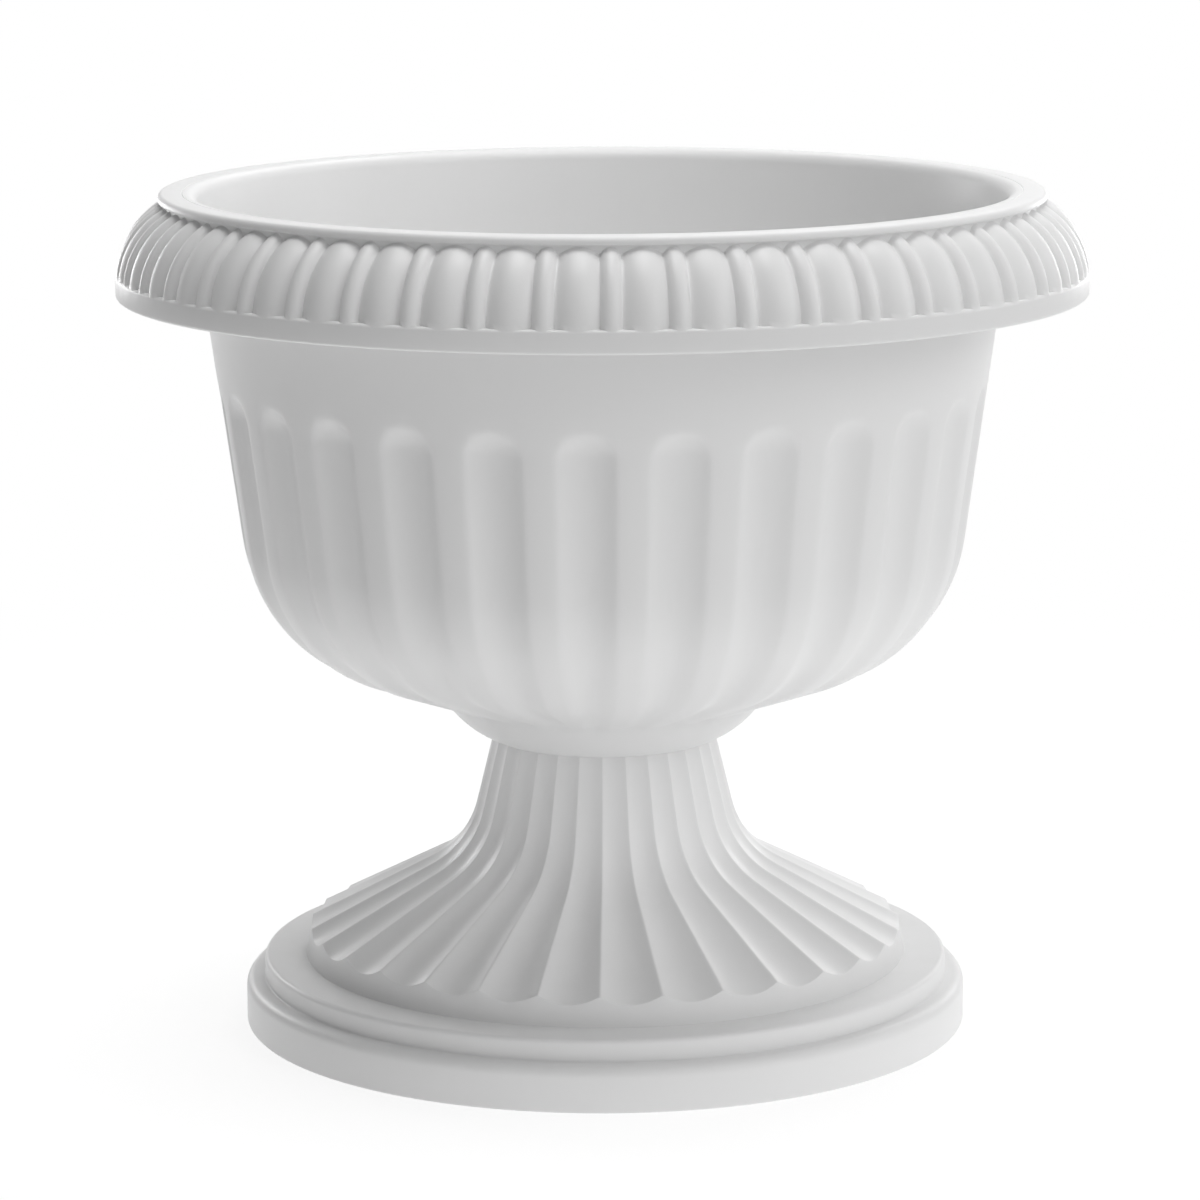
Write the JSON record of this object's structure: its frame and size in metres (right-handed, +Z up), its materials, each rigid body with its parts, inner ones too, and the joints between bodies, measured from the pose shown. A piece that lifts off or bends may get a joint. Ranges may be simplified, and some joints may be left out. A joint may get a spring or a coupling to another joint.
{
  "type": "urn planter",
  "caption": "Round fluted urn planter: a bowl with an egg-and-dart rim, twist-locked on a flared fluted pedestal, with a lift-out drain plug.",
  "frame": {"origin": "Middle of the pedestal's foot, on the ground.", "axes": "+Z is up, along the urn's axis; +X runs from the axis through the middle of one flute of the bowl and one dart of the rim; +Y completes a right-handed frame."},
  "size_m": [0.4064, 0.4064, 0.355],
  "materials": {
    "white_plastic": "satin, fine moulded grain",
    "plug_plastic": "satin"
  },
  "bodies": {
    "pedestal": {"pedestal": "white_plastic"},
    "bowl": {"bowl": "white_plastic"},
    "plug": {"drain_plug": "plug_plastic"}
  },
  "joints": [
    {"name": "bowl_twist", "type": "hinge", "parent": "pedestal", "child": "bowl", "pos_m": [0, 0, 0.122], "axis": [0, 0, 1], "range_deg": [0, 50]},
    {"name": "plug_lift", "type": "slide", "parent": "bowl", "child": "plug", "axis": [0, 0, 1], "range_m": [0, 0.25]}
  ]
}
